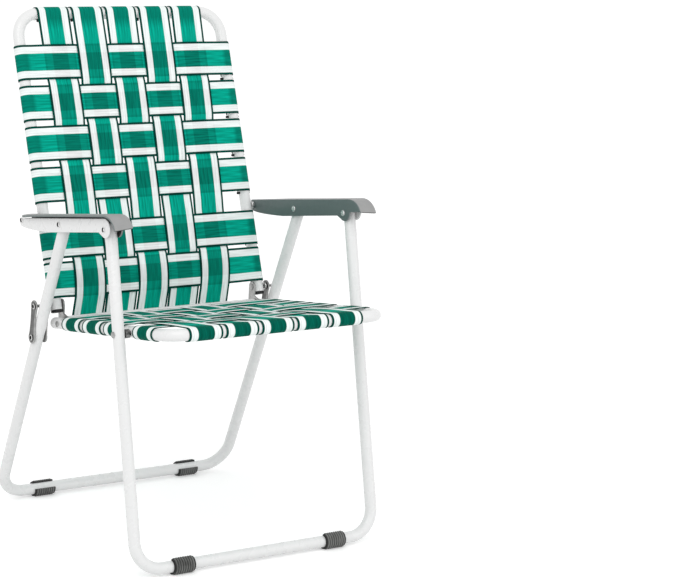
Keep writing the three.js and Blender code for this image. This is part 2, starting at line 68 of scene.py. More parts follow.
def onBack(up, front, x=0.0):
    y = backPivot[0] + up * sin(backTilt) - front * cos(backTilt)
    z = backPivot[1] + up * cos(backTilt) + front * sin(backTilt)
    return Vector((x, y, z))


def onSeat(along, above, x=0.0):
    y = chair["seatRear"][0] - along * cos(seatSlope) + above * sin(seatSlope)
    z = chair["seatRear"][1] + along * sin(seatSlope) + above * cos(seatSlope)
    return Vector((x, y, z))


backNormal, backUp = onBack(0, 1) - onBack(0, 0), onBack(1, 0) - onBack(0, 0)
seatNormal, seatAhead = onSeat(0, 1) - onSeat(0, 0), onSeat(1, 0) - onSeat(0, 0)


# Shares, and outlines as lists of pairs

def clamp(share):
    return min(max(share, 0), 1)


def between(low, high, share):
    return low + (high - low) * clamp(share)


def fade(value, span):
    # 1 up to the start of the span, 0 from its end
    t = clamp((span[1] - value) / (span[1] - span[0]))
    return (3 - 2 * t) * t * t


def arc(centre, radius, fromDegrees, toDegrees, steps):
    points = []
    for i in range(steps + 1):
        angle = radians(fromDegrees + (toDegrees - fromDegrees) * i / steps)
        points.append((centre[0] + radius * cos(angle), centre[1] + radius * sin(angle)))
    return points


def straight(start, end, steps):
    return [tuple(a + (b - a) * i / steps for a, b in zip(start, end)) for i in range(1, steps + 1)]


def curveThrough(start, control, end, steps):
    points = []
    for i in range(1, steps + 1):
        t = i / steps
        points.append(tuple((1 - t) ** 2 * a + 2 * t * (1 - t) * b + t * t * c
                            for a, b, c in zip(start, control, end)))
    return points


def placeKey(point):
    return tuple(round(c, 5) for c in point)


# Modelling steps

def setMode(mode):
    bpy.ops.object.mode_set(mode=mode)


def selectMesh(action):
    bpy.ops.mesh.select_all(action=action)


def clearSelection():
    if bpy.context.object and bpy.context.object.mode != "OBJECT":
        setMode("OBJECT")
    bpy.ops.object.select_all(action="DESELECT")


def openPiece(name):
    # names the object just added and opens its mesh, all selected
    piece = bpy.context.object
    piece.name = piece.data.name = name
    bpy.ops.object.transform_apply(location=True, rotation=True, scale=True)
    setMode("EDIT")
    bpy.ops.mesh.select_mode(type="VERT")
    selectMesh("SELECT")
    return piece


def extrudeBy(offset):
    bpy.ops.mesh.extrude_region_move(TRANSFORM_OT_translate={"value": tuple(offset)})


def traceLine(name, points):
    # one vertex, extruded from point to point; leaves the line selected in edit mode
    clearSelection()
    bpy.ops.mesh.primitive_plane_add(size=0.01, location=points[0])
    piece = openPiece(name)
    bpy.ops.mesh.merge(type="CENTER")
    for before, after in zip(points, points[1:]):
        bpy.ops.mesh.extrude_vertices_move(TRANSFORM_OT_translate={"value": tuple(after - before)})
    selectMesh("SELECT")
    return piece


def faceOutwards(weld=1e-6):
    selectMesh("SELECT")
    bpy.ops.mesh.remove_doubles(threshold=weld)
    bpy.ops.mesh.normals_make_consistent(inside=False)
    setMode("OBJECT")


def selectOnly(piece, kind, wanted):
    setMode("EDIT")
    bpy.ops.mesh.select_mode(type=kind)
    selectMesh("DESELECT")
    setMode("OBJECT")
    for item in piece.data.polygons if kind == "FACE" else piece.data.edges:
        item.select = wanted(item)
    setMode("EDIT")


def applyModifier(piece, kind, **settings):
    modifier = piece.modifiers.new(kind.title(), kind)
    for key, value in settings.items():
        setattr(modifier, key, value)
    bpy.context.view_layer.objects.active = piece
    bpy.ops.object.modifier_apply(modifier=modifier.name)


def roundEdges(piece, width, angle, segments=2):
    applyModifier(piece, "BEVEL", width=width, segments=segments, limit_method="ANGLE",
                  angle_limit=radians(angle), use_clamp_overlap=True)


def smoothByAngle(piece, angle=40):
    clearSelection()
    piece.select_set(True)
    bpy.context.view_layer.objects.active = piece
    bpy.ops.object.shade_smooth_by_angle(angle=radians(angle))


def spinProfile(name, points, centre, axis, steps):
    piece = traceLine(name, points)
    bpy.ops.mesh.spin(steps=steps, angle=2 * pi, center=centre, axis=axis)
    faceOutwards()
    smoothByAngle(piece)
    return piece


def cutPlate(name, points, thickness):
    # a flat outline, filled and drawn out along X
    piece = traceLine(name, points)
    bpy.ops.mesh.edge_face_add()
    extrudeBy((thickness, 0, 0))
    faceOutwards()
    return piece


def markPoints(piece, label, valueAt):
    # a measure for the finish to read, one value for each vertex
    layer = piece.data.attributes.new(label, "FLOAT", "POINT")
    for v in piece.data.vertices:
        layer.data[v.index].value = valueAt(v)


def nodeName(name):
    return re.sub("(?=[A-Z0-9])", "_", name).lower()


def finishPiece(piece, finish, body, *stands):
    piece.data.materials.clear()
    piece.data.materials.append(finish["material"])
    if stands:
        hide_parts(*stands)
    if body:
        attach(piece, body)


def bothSides(make, name, finish, body, *sizes, stands=None):
    # a left and a right piece; each stands for the node of the same name, or of the name given
    for sideName, side in sides.items():
        piece = make(name + sideName, side, *sizes)
        finishPiece(piece, finish, body, nodeName((stands or name) + sideName))


# Finishes: nodes on Object coordinates, or on the measures that a piece carries
noiseSpread = (0.3, 0.7)  # where most of a noise's values lie
skirtTone = 0.5  # the skirt's level on the armrest's painted light, between 0 for the painted shade inside and 1 for the lit top


def newMaterial(name, base, roughness, **sockets):
    material = bpy.data.materials.new(name)
    material.use_nodes = True
    inputs = material.node_tree.nodes["Principled BSDF"].inputs
    inputs["Base Color"].default_value = (*base, 1)
    inputs["Roughness"].default_value = roughness
    for key, value in sockets.items():
        inputs[key].default_value = value
    return material, material.node_tree


def addNode(tree, kind, inputs=None, **settings):
    node = tree.nodes.new("ShaderNode" + kind)
    for key, value in settings.items():
        setattr(node, key, value)
    for key, value in (inputs or {}).items():
        if isinstance(value, bpy.types.NodeSocket):
            tree.links.new(value, node.inputs[key])
        else:
            node.inputs[key].default_value = value
    return node


def feed(value, socket):
    tree = value.id_data
    tree.links.new(value, tree.nodes["Principled BSDF"].inputs[socket])


def mathNode(operation, first, second=0.0):
    return addNode(first.id_data, "Math", {0: first, 1: second}, operation=operation).outputs[0]


def measure(tree, label):
    return addNode(tree, "Attribute", attribute_name=label).outputs["Fac"]


def objectPlace(tree):
    return addNode(tree, "TexCoord").outputs["Object"]


def objectNoise(tree, scale, detail=3.0, roughness=0.55, stretch=(1, 1, 1)):
    mapped = addNode(tree, "Mapping", {"Vector": objectPlace(tree), "Scale": stretch}).outputs[0]
    inputs = {"Vector": mapped, "Scale": scale, "Detail": detail, "Roughness": roughness}
    return addNode(tree, "TexNoise", inputs).outputs["Fac"]


def rangeOf(value, spread, to=(0.0, 1.0)):
    inputs = {"Value": value, "From Min": spread[0], "From Max": spread[1], "To Min": to[0], "To Max": to[1]}
    return addNode(value.id_data, "MapRange", inputs).outputs[0]


def patches(tree, spread, to=(0.0, 1.0), **noise):
    return rangeOf(objectNoise(tree, **noise), spread, to)


def colourRamp(factor, stops):
    node = addNode(factor.id_data, "ValToRGB", {"Fac": factor})
    ramp = node.color_ramp
    while len(ramp.elements) < len(stops):
        ramp.elements.new(0.5)
    for element, (position, colour) in zip(ramp.elements, stops):
        element.position = position
        element.color = (*colour, 1)
    return node.outputs["Color"]


def mixColour(factor, first, second, blend="MIX"):
    tree = factor.id_data
    node = addNode(tree, "Mix", data_type="RGBA", blend_type=blend)
    for socket, value in ((node.inputs[0], factor), (node.inputs[6], first), (node.inputs[7], second)):
        if isinstance(value, bpy.types.NodeSocket):
            tree.links.new(value, socket)
        else:
            socket.default_value = value if isinstance(value, float) else (*value, 1)
    return node.outputs[2]


def finished(material, slot, colour, roughness, height, bump):
    feed(colour, "Base Color")
    feed(roughness, "Roughness")
    inputs = {"Height": height, "Strength": bump[0], "Distance": bump[1]}
    feed(addNode(height.id_data, "Bump", inputs).outputs[0], "Normal")
    return {"material": material, "slot": slot}


def whitePaint():
    look = {"clean": (0.79, 0.793, 0.792), "dulled": (0.78, 0.784, 0.782), "scuff": (0.6, 0.6, 0.585),
            "roughness": 0.27, "coat": 0.3, "coatRoughness": 0.08, "scuffHeight": 0.05, "scuffShare": 0.25,
            "cloud": {"scale": 9.0, "spread": (0.4, 0.72)},
            "specks": {"scale": 210.0, "detail": 5.0, "roughness": 0.7, "spread": (0.64, 0.74)},
            "sheen": {"scale": 60.0, "spread": noiseSpread, "to": (0.25, 0.31)},
            "grain": {"scale": 420.0, "detail": 1.0}, "bump": (0.015, 0.0005)}
    coat = {"Coat Weight": look["coat"], "Coat Roughness": look["coatRoughness"]}
    material, tree = newMaterial("whitePaint", look["clean"], look["roughness"], **coat)
    colour = mixColour(patches(tree, **look["cloud"]), look["clean"], look["dulled"])
    # a few scuffs low down, where the feet rub along the floor
    height = addNode(tree, "SeparateXYZ", {0: objectPlace(tree)}).outputs["Z"]
    low = rangeOf(height, (0.0, look["scuffHeight"]), (look["scuffShare"], 0.0))
    scuffed = mathNode("MULTIPLY", low, patches(tree, **look["specks"]))
    colour = mixColour(scuffed, colour, look["scuff"])
    sheen, grain = patches(tree, **look["sheen"]), objectNoise(tree, **look["grain"])
    return finished(material, "white_paint", colour, sheen, grain, look["bump"])


def grainedPlastic(name, slot, base, worn, roughness, grain):
    look = {"shine": 0.25, "cloud": {"scale": 35.0, "detail": 4.0, "spread": (0.35, 0.7)}, "clouding": 0.4,
            "crestHighlight": (1.4, 3.4), "sheenScale": 90.0, "sheen": (-0.07, 0.08),
            "grainDetail": 2.0, "bump": (0.12, 0.0004)}
    material, tree = newMaterial(name, base, roughness, **{"Specular IOR Level": look["shine"]})
    cloud = patches(tree, **look["cloud"])
    plain = mixColour(mathNode("MULTIPLY", cloud, look["clouding"]), base, worn)
    # painted highlight: along the top of a rib the plastic is painted paler
    crestHighlight = mixColour(cloud, *[tuple(share * c for c in worn) for share in look["crestHighlight"]])
    colour = mixColour(measure(tree, "crest"), plain, crestHighlight)
    sheenRange = [roughness + change for change in look["sheen"]]
    sheen = patches(tree, noiseSpread, sheenRange, scale=look["sheenScale"])
    height = objectNoise(tree, grain, look["grainDetail"])
    return finished(material, slot, colour, sheen, height, look["bump"])


def fadedAndShadedPlastic():
    # the armrest, by the way each face looks: lighter on top and over the nose, partly sun-faded plastic and
    # partly painted light; darker and greener on the skirt, a painted shade with a painted reflection of the
    # green webbing; near black inside, a painted shade
    look = {"inside": (0.008, 0.009, 0.009), "skirtShadedGreen": (0.106, 0.143, 0.14), "fadedAndLit": (0.285, 0.287, 0.287),
            "dust": (0.345, 0.347, 0.343), "roughness": 0.5,
            "cloud": {"scale": 26.0, "detail": 4.0, "spread": (0.4, 0.75), "to": (0.0, 0.7)},
            "sheen": {"scale": 90.0, "spread": noiseSpread, "to": (0.42, 0.56)},
            "grain": {"scale": 900.0, "detail": 2.0}, "bump": (0.12, 0.0004)}
    material, tree = newMaterial("armrestPlastic", look["fadedAndLit"], look["roughness"])
    paintedLightShare = measure(tree, "paintedLightShare")
    top = mixColour(patches(tree, **look["cloud"]), look["fadedAndLit"], look["dust"])
    # painted shade: near black inside, and darker and greener on the skirt
    shaded = mixColour(rangeOf(paintedLightShare, (0.0, skirtTone)), look["inside"], look["skirtShadedGreen"])
    colour = mixColour(rangeOf(paintedLightShare, (skirtTone, 1.0)), shaded, top)
    sheen, grain = patches(tree, **look["sheen"]), objectNoise(tree, **look["grain"])
    return finished(material, "armrest_plastic", colour, sheen, grain, look["bump"])


def zincSteel(name, bright, dull, roughness):
    # the hole colour is a painted shade, near black, for down a rivet's hole and along a groove
    look = {"metallic": 0.9, "brown": (0.16, 0.12, 0.09), "hole": (0.004, 0.004, 0.004),
            "cloud": {"scale": 160.0, "detail": 4.0, "spread": (0.35, 0.7)},
            "spots": {"scale": 520.0, "detail": 4.0, "roughness": 0.7,
                      "spread": (0.66, 0.75), "to": (0.0, 0.6)},
            "streaks": {"scale": 300.0, "detail": 2.0, "roughness": 0.5, "stretch": (1, 1, 6)},
            "sheen": (-0.08, 0.1), "bump": (0.08, 0.0003)}
    material, tree = newMaterial(name, bright, roughness, Metallic=look["metallic"])
    colour = mixColour(patches(tree, **look["cloud"]), bright, dull)
    colour = mixColour(patches(tree, **look["spots"]), colour, look["brown"])
    # painted shade: the measure is 1 down a rivet's hole and part of that along a groove, where the steel is
    # darkened towards black in place of the shade that falls there
    colour = mixColour(measure(tree, "hollow"), colour, look["hole"])
    streaks = objectNoise(tree, **look["streaks"])
    sheen = rangeOf(streaks, noiseSpread, [roughness + change for change in look["sheen"]])
    return finished(material, "zinc_steel", colour, sheen, streaks, look["bump"])


def webbing():
    # stripes by the distance from the middle; light comes through, so a strap is darker where it is backed
    look = {"green": (0.0012, 0.375, 0.266), "white": (0.872, 0.925, 0.915), "line": (0.0006, 0.058, 0.042),
            "greenBacked": (0.0004, 0.112, 0.076), "whiteBacked": (0.81, 0.81, 0.81),
            "lineBacked": (0.0005, 0.036, 0.026), "roughness": 0.6, "shine": 0.02,
            "fibre": (420.0, 22.0), "fibreDetail": 2.0, "tone": (0.58, 1.27), "toneShown": (0.9, 0.35),
            "thread": 0.0016, "weft": 0.0026, "crossing": 0.45,
            "ribSpread": (-1.4, 1.4), "sheen": (0.7, 0.52), "bump": (0.22, 0.00012)}
    stripes = (0.0, 0.482, 0.502, 0.866, 0.886, 1.0)
    # by what lies behind, how far green and white go towards backed: first over green,
    # then over white, over an edge line, with nothing behind, on a tube, and on the seat, where it is painted
    # shade
    shades = ((0.0, 0.72, 0.7), (0.238, 0.72, 0.7), (0.252, 0.4, 0.1), (0.433, 0.4, 0.1),
              (0.445, 0.52, 0.3), (0.495, 0.52, 0.3), (0.502, 0.0, 0.0), (0.66, 0.0, 0.0),
              (0.78, 0.6, 0.0), (0.88, 0.6, 0.0), (1.0, 1.0, 0.0))
    shine = {"Specular IOR Level": look["shine"]}
    material, tree = newMaterial("webbing", look["green"], look["roughness"], **shine)
    across, along, under = (measure(tree, label) for label in ("across", "along", "under"))

    def times(first, second):
        return mathNode("MULTIPLY", first, second)

    def striped(green, white, line):
        colours = (green, green, white, white, line, line)
        return colourRamp(share, [(s, look[c]) for s, c in zip(stripes, colours)])

    share = mathNode("DIVIDE", mathNode("ABSOLUTE", across), strapHalf)
    single = striped("green", "white", "line")
    backed = striped("greenBacked", "whiteBacked", "lineBacked")
    behind = mathNode("DIVIDE", under, 2 * strapHalf)
    backing = colourRamp(behind, [(place, (green, white, 0)) for place, green, white in shades])
    parts = addNode(tree, "SeparateColor", {0: backing}).outputs
    onWhite = mathNode("GREATER_THAN", share, (stripes[1] + stripes[2]) / 2)
    factor = addNode(tree, "Mix", {0: onWhite, 2: parts[0], 3: parts[1]}, data_type="FLOAT").outputs[0]
    colour = mixColour(factor, single, backed)
    # threads: fine lengthwise ribs, and a change of shade from thread to thread
    fibrePlace = {0: times(across, look["fibre"][0]), 1: times(along, look["fibre"][1])}
    fibre = addNode(tree, "CombineXYZ", fibrePlace).outputs[0]
    noise = {"Vector": fibre, "Scale": 1.0, "Detail": look["fibreDetail"]}
    tone = rangeOf(addNode(tree, "TexNoise", noise).outputs["Fac"], noiseSpread, look["tone"])
    grey = addNode(tree, "CombineColor", {0: tone, 1: tone, 2: tone}).outputs[0]
    shown = rangeOf(onWhite, (0.0, 1.0), look["toneShown"])
    colour = mixColour(shown, colour, grey, "MULTIPLY")
    warp = mathNode("SINE", times(across, 2 * pi / look["thread"]))
    weft = mathNode("SINE", times(along, 2 * pi / look["weft"]))
    ribs = mathNode("ADD", warp, times(times(warp, weft), look["crossing"]))
    sheen = rangeOf(ribs, look["ribSpread"], look["sheen"])
    return finished(material, "webbing", colour, sheen, ribs, look["bump"])


paintFinish = whitePaint()
zincFinish = zincSteel("zincSteel", (0.41, 0.41, 0.405), (0.25, 0.25, 0.246), 0.34)
bushFinish = zincSteel("bushSteel", (0.2, 0.2, 0.198), (0.06, 0.06, 0.059), 0.28)
rivetFinish = zincSteel("rivetSteel", (0.78, 0.78, 0.775), (0.6, 0.6, 0.595), 0.24)
webFinish = webbing()
armFinish = fadedAndShadedPlastic()
footFinish = grainedPlastic("footPlastic", "foot_plastic",
                            (0.006, 0.0062, 0.006), (0.06, 0.061, 0.059), 0.55, 700.0)
plugFinish = grainedPlastic("plugPlastic", "plug_plastic",
                            (0.012, 0.012, 0.013), (0.02, 0.02, 0.021), 0.5, 800.0)
print("finishes ready")

# Bent tubes: a ring, extruded along each straight and spun round each bend
tubes = {"ringSides": 40, "bendSteps": 16, "rimRound": 0.0003, "rimAngle": 60, "smoothAngle": 35,
         "legBend": 0.045, "seatBend": 0.034, "backBend": 0.041,
         "frontOverrun": 0.009, "rearOverrun": 0.004, "backTail": 0.009,
         "barRadius": 0.008, "barSetback": 0.009, "barRise": 0.0026, "barHalfLength": 0.1834}


def bentTube(name, corners, bendRadius, radius):
    clearSelection()
    heading = (corners[1] - corners[0]).normalized()
    turn = heading.to_track_quat("Z", "Y").to_euler()
    bpy.ops.mesh.primitive_circle_add(vertices=tubes["ringSides"], radius=radius, fill_type="NOTHING",
                                      location=corners[0], rotation=turn)
    piece = openPiece(name)
    here = corners[0]
    for corner, after in zip(corners[1:-1], corners[2:]):
        into = (corner - here).normalized()
        away = (after - corner).normalized()
        angle = into.angle(away)
        start = corner - into * bendRadius * tan(angle / 2)
        inward = (away - into * into.dot(away)).normalized()
        extrudeBy(start - here)
        bpy.ops.mesh.spin(steps=tubes["bendSteps"], angle=-angle, center=start + inward * bendRadius,
                          axis=into.cross(away).normalized())
        here = corner + away * bendRadius * tan(angle / 2)
    extrudeBy(corners[-1] - here)
    faceOutwards()
    applyModifier(piece, "SOLIDIFY", thickness=chair["tubeWall"], offset=-1)
    roundEdges(piece, tubes["rimRound"], tubes["rimAngle"])
    smoothByAngle(piece, tubes["smoothAngle"])
    return piece


def hoop(name, x, openEnd, closedEnd, bendRadius):
    corners = [Vector((side * x, end.y, end.z)) for side, end in
               ((-1, openEnd), (-1, closedEnd), (1, closedEnd), (1, openEnd))]
    return bentTube(name, corners, bendRadius, tubeRadius)


for end in ("front", "rear"):
    low, high = sidePoint(0, chair[end + "Foot"]), sidePoint(0, chair[end + "Pivot"])
    top = high + (high - low).normalized() * tubes[end + "Overrun"]
    legHoop = hoop(end + "LegTube", chair["legX"], top, low, tubes["legBend"])
    finishPiece(legHoop, paintFinish, end + "_legs", end + "_leg_frame")
seatHoop = hoop("seatTube", railX, onSeat(0, 0), onSeat(seatLength, 0), tubes["seatBend"])
finishPiece(seatHoop, paintFinish, "seat", "seat_frame")
backFoot, backTop = onBack(-tubes["backTail"], 0), onBack(backLength, 0)
backHoop = hoop("backTube", railX, backFoot, backTop, tubes["backBend"])
finishPiece(backHoop, paintFinish, "back", "back_frame")
crossbar = onSeat(tubes["barSetback"], tubes["barRise"])
barEnds = [crossbar + Vector((x * tubes["barHalfLength"], 0, 0)) for x in (-1, 1)]
finishPiece(bentTube("rearCrossbar", barEnds, 0, tubes["barRadius"]), paintFinish, "seat", "rear_crossbar")
print("tubes bent")

# Turned pieces: a profile of (radius, x), spun about an axis along X
# An eye is the rolled end of a hollow rivet; its crest, lip and throat are in rims
turning = {"steps": 28, "rivetRadius": 0.0025, "headRadius": 0.005, "headHeight": 0.002, "headRim": 0.0005,
           "domeSteps": 6, "collarRadius": 0.006, "bushRadius": 0.007, "bushRound": 0.0005,
           "boreGap": 0.0004, "pinGap": 0.0005, "eyeRadius": 0.0047, "eyeBowl": 0.0034, "eyeHole": 0.0022,
           "eyeDepth": 0.0032, "eyeCrest": (0.6, 2.4), "eyeLip": 1.8, "eyeThroat": 0.4, "eyeTaper": 0.95}


def turned(name, side, place, profile):
    points = [Vector((side * x, place[0], place[1] + radius)) for radius, x in profile]
    return spinProfile(name, points, sidePoint(0, place), (1, 0, 0), turning["steps"])


def domedHead(x, direction):
    rim, rise = turning["headRim"], turning["headHeight"] - turning["headRim"]
    dome = [(turning["headRadius"], x)]
    for i in range(turning["domeSteps"] + 1):
        angle = pi / 2 * i / turning["domeSteps"]
        dome.append((turning["headRadius"] * cos(angle), x + direction * (rim + rise * sin(angle))))
    return dome


def eyeHead(x):
    wide, bowl, hole, rim = (turning[key] for key in ("eyeRadius", "eyeBowl", "eyeHole", "headRim"))
    (crestOut, crestUp), bottom = turning["eyeCrest"], x - turning["eyeDepth"]
    return [(wide, x), (wide, x + rim), (wide - rim, x + 2 * rim), (bowl + rim * crestOut, x + crestUp * rim),
            (bowl, x + turning["eyeLip"] * rim), (hole, x - rim * turning["eyeThroat"]),
            (hole * turning["eyeTaper"], bottom), (0, bottom)]


def hollowEnded(name, side, place, profile, outer):
    piece = turned(name, side, place, profile + eyeHead(outer))

    # painted shade: the eye's bowl and hole are marked to be painted near black
    def inEye(v):
        inBowl = hypot(v.co.y - place[0], v.co.z - place[1]) < turning["eyeBowl"] + touch
        return 1.0 if inBowl and side * v.co.x > outer - turning["eyeDepth"] - touch else 0.0

    markPoints(piece, "hollow", inEye)
    return piece


def rivet(name, side, place, inner, outer, hollow=False):
    shank = [(turning["rivetRadius"], inner), (turning["rivetRadius"], outer)]
    profile = domedHead(inner, -1)[::-1] + shank
    if hollow:
        return hollowEnded(name, side, place, profile, outer)
    return turned(name, side, place, profile + domedHead(outer, 1))


def softCorners(inner, outer, radius):
    soft = turning["bushRound"]
    return [(radius - soft, inner), (radius, inner + soft), (radius, outer - soft), (radius - soft, outer)]


def collaredPin(name, side, place, tip, collar, outer):
    shank = [(turning["rivetRadius"], collar), (turning["rivetRadius"], outer)]
    profile = [(0, tip)] + softCorners(tip, collar, turning["collarRadius"]) + shank
    return hollowEnded(name, side, place, profile, outer)


def bush(name, side, place, inner, outer):
    bore = turning["rivetRadius"] + turning["boreGap"]
    rim = softCorners(inner, outer, turning["bushRadius"])
    return turned(name, side, place, [(bore, inner)] + rim + [(bore, outer), (bore, inner)])


legInner, legOuter = chair["legX"] - tubeRadius, chair["legX"] + tubeRadius
railInner, railOuter = railX - tubeRadius, railX + tubeRadius
armPin = onBack(chair["armPinUp"], 0)

# Armrests: a moulded cap with an inner skirt and a rolled nose, and a white steel side plate
armrest = {"topFront": 0.0232, "topRear": 0.0094, "plateDrop": 0.0057, "wall": 0.0034, "skirt": 0.003,
           "width": 0.032, "noseReach": 0.0485, "noseStart": 0.014, "noseBend": 0.040, "noseDrop": 0.0195,
           "lipSlant": 0.003, "tailCut": 0.022, "tailCutFrom": 0.06, "tailCutPower": 2.2, "seam": 0.01,
           "earRadius": 0.0152, "earForward": 0.0025, "earEnd": 306, "skirtFront": (0.017, -0.005),
           "belly": (0.180, -0.0145), "tail": 0.010, "tailReach": 0.007, "plate": 0.0025,
           "plateRound": 0.001, "plateSegments": 3, "edgeRound": 0.002, "edgeSegments": 4,
           "rimRound": 0.0005, "rimAngle": 50,
           "shadeThreshold": 0.5, "sunFrom": 0.0004, "sunOver": 0.0012, "sunSlope": 2.5}
armSteps = {"across": 6, "ear": 16, "front": 3, "belly": 8, "rise": 8, "tail": 6, "top": 12, "nose": 14,
            "plateTail": 2, "plateTop": 8}
frontPivot = sidePoint(0, chair["frontPivot"])
armReach = armPin - frontPivot
armLength = armReach.length
armTilt = atan2(armReach.z, armReach.y)
armEnd = armLength + armrest["tailReach"]
skirtOuter = legInner - gap
skirtInner = skirtOuter - armrest["skirt"]
plateInner = legOuter + gap
plateOuter = plateInner + armrest["plate"]


def onArm(u, h, x):
    y = frontPivot.y + u * cos(armTilt) - h * sin(armTilt)
    z = frontPivot.z + u * sin(armTilt) + h * cos(armTilt)
    return Vector((x, y, z))


def inArm(offset):
    return (offset.y * cos(armTilt) + offset.z * sin(armTilt),
            offset.z * cos(armTilt) - offset.y * sin(armTilt))


def armTop(u):
    return armrest["topFront"] + (armrest["topRear"] - armrest["topFront"]) * u / armLength


def undersideOutline(startDegrees):
    ahead, radius = -armrest["earForward"], armrest["earRadius"]
    rise = armTop(ahead) - armrest["plateDrop"] - radius
    outline = arc((ahead, rise), radius, startDegrees, armrest["earEnd"], armSteps["ear"])
    outline += straight(outline[-1], armrest["skirtFront"], armSteps["front"])
    outline += straight(outline[-1], armrest["belly"], armSteps["belly"])
    depth, tail = armrest["belly"][1], armrest["tail"]
    outline += curveThrough(outline[-1], (armLength - 2 * tail, depth), (armLength, -tail), armSteps["rise"])
    outline += curveThrough(outline[-1], (armEnd, -tail), (armEnd, 0), armSteps["tail"])
    return outline


def crownOutline():
    # the top from the tail forward, and down over the nose
    start = (-armrest["noseStart"], armTop(-armrest["noseStart"]))
    bend, tip = (-armrest["noseBend"], start[1]), (-armrest["noseReach"], start[1] - armrest["noseDrop"])
    crown = [(armEnd, armTop(armEnd))]
    crown += straight(crown[0], start, armSteps["top"])
    return crown + curveThrough(start, bend, tip, armSteps["nose"])


def armrestCap(name, side):
    crown = [onArm(u, h, side * skirtInner) for u, h in crownOutline()]
    skirtLine = [onArm(u, h, side * skirtInner) for u, h in undersideOutline(180)]
    piece = traceLine(name, skirtLine + crown)
    bpy.ops.mesh.edge_face_add()
    setMode("OBJECT")
    onCrown = {placeKey(point) for point in crown}

    def crownEdge(edge):
        return all(placeKey(piece.data.vertices[i].co) in onCrown for i in edge.vertices)

    # the top and the nose are drawn out from the skirt's upper edge
    selectOnly(piece, "EDGE", crownEdge)
    for _ in range(armSteps["across"]):
        extrudeBy((side * armrest["width"] / armSteps["across"], 0, 0))
    faceOutwards()
    skirtFace = max(piece.data.polygons, key=lambda face: len(face.vertices))
    if skirtFace.normal.x * side > 0:
        setMode("EDIT")
        selectMesh("SELECT")
        bpy.ops.mesh.flip_normals()
        setMode("OBJECT")
    # towards the outer side the nose hangs lower and the tail is rounded off
    drawnDown = onArm(0, -1, 0) - onArm(0, 0, 0)
    drawnForward = onArm(-1, 0, 0) - onArm(0, 0, 0)
    for v in piece.data.vertices:
        across = (abs(v.co.x) - skirtInner) / armrest["width"]
        u = inArm(v.co - frontPivot)[0]
        ahead = (-u - armrest["noseStart"]) / (armrest["noseReach"] - armrest["noseStart"])
        behind = (u - armEnd + armrest["tailCutFrom"]) / armrest["tailCutFrom"]
        if across > armrest["seam"]:
            v.co += drawnDown * armrest["lipSlant"] * max(ahead, 0) * across
            v.co += drawnForward * armrest["tailCut"] * max(behind, 0) * across ** armrest["tailCutPower"]
    selectOnly(piece, "EDGE", crownEdge)
    bpy.ops.mesh.bevel(offset=armrest["edgeRound"], segments=armrest["edgeSegments"], affect="EDGES",
                       clamp_overlap=True)
    setMode("OBJECT")
    applyModifier(piece, "SOLIDIFY", thickness=armrest["wall"], offset=-1, use_even_offset=True)
    roundEdges(piece, armrest["rimRound"], armrest["rimAngle"])

    def sunlit(v):
        # painted light by the way a face looks, u to the rear, h up: faces turned away take the painted shade
        # inside, the skirt its painted shade, faces looking up or forward the lit top
        outFrom = clamp((abs(v.co.x) - skirtInner - armrest["sunFrom"]) / armrest["sunOver"])
        u, h = inArm(v.normal)
        onSkirt = abs(v.co.x) < skirtOuter + armrest["rimRound"]
        away = v.normal.x * side if onSkirt else max(u, -h)
        facing = clamp(armrest["sunSlope"] * max(h, -u))
        return 0 if away > armrest["shadeThreshold"] else skirtTone + (1 - skirtTone) * outFrom * facing

    markPoints(piece, "paintedLightShare", sunlit)
    smoothByAngle(piece)
    return piece


def armrestPlate(name, side):
    outline = undersideOutline(90)
    outline += straight(outline[-1], (armEnd, armTop(armEnd) - armrest["plateDrop"]), armSteps["plateTail"])
    outline += straight(outline[-1], outline[0], armSteps["plateTop"])[:-1]
    piece = cutPlate(name, [onArm(u, h, side * plateInner) for u, h in outline], side * armrest["plate"])
    roundEdges(piece, armrest["plateRound"], armrest["rimAngle"], armrest["plateSegments"])
    smoothByAngle(piece)
    return piece


armHeads = (skirtInner - gap, plateOuter + gap)
armPinPlace, armPinTip = (armPin.y, armPin.z), railOuter + turning["pinGap"]
bothSides(armrestCap, "armrestCap", armFinish, "armrests")
bothSides(armrestPlate, "armrestPlate", paintFinish, "armrests", stands="armrestSidePlate")
bothSides(rivet, "armFrontRivet", rivetFinish, "armrests", chair["frontPivot"], *armHeads, True)
bothSides(rivet, "armMiddleRivet", rivetFinish, "armrests", chair["rearPivot"], *armHeads, True)
bothSides(collaredPin, "armRearPin", rivetFinish, "armrests", armPinPlace, armPinTip, *armHeads)
seatPivot = chair["seatPivot"]
bothSides(rivet, "seatPivotRivet", zincFinish, "front_legs", seatPivot, railInner - gap, legOuter + gap)
bothSides(bush, "seatPivotBush", bushFinish, "front_legs", seatPivot, railOuter + gap, legInner - gap)
print("armrests and pivots made")

# Hinge plates: an outline, filled, given a thickness and a stamped recess
hinge = {"linkPlate": 0.0025, "linkLobe": 0.010, "linkWaist": 0.0065, "lobeTurn": 30, "lobeSteps": 16,
         "waistSteps": 8, "edgeRound": 0.0006, "edgeAngle": 40, "facing": 0.9,
         "recessInset": 0.0021, "recessDepth": 0.001, "grooveWidth": 0.0016, "grooveShade": 0.62,
         "bracketPlate": 0.0025, "bracketLobe": 0.009, "bracketReach": 0.024, "bracketThroat": 0.013,
         "bracketToe": 108, "bracketTopSteps": 14, "bracketToeSteps": 10}


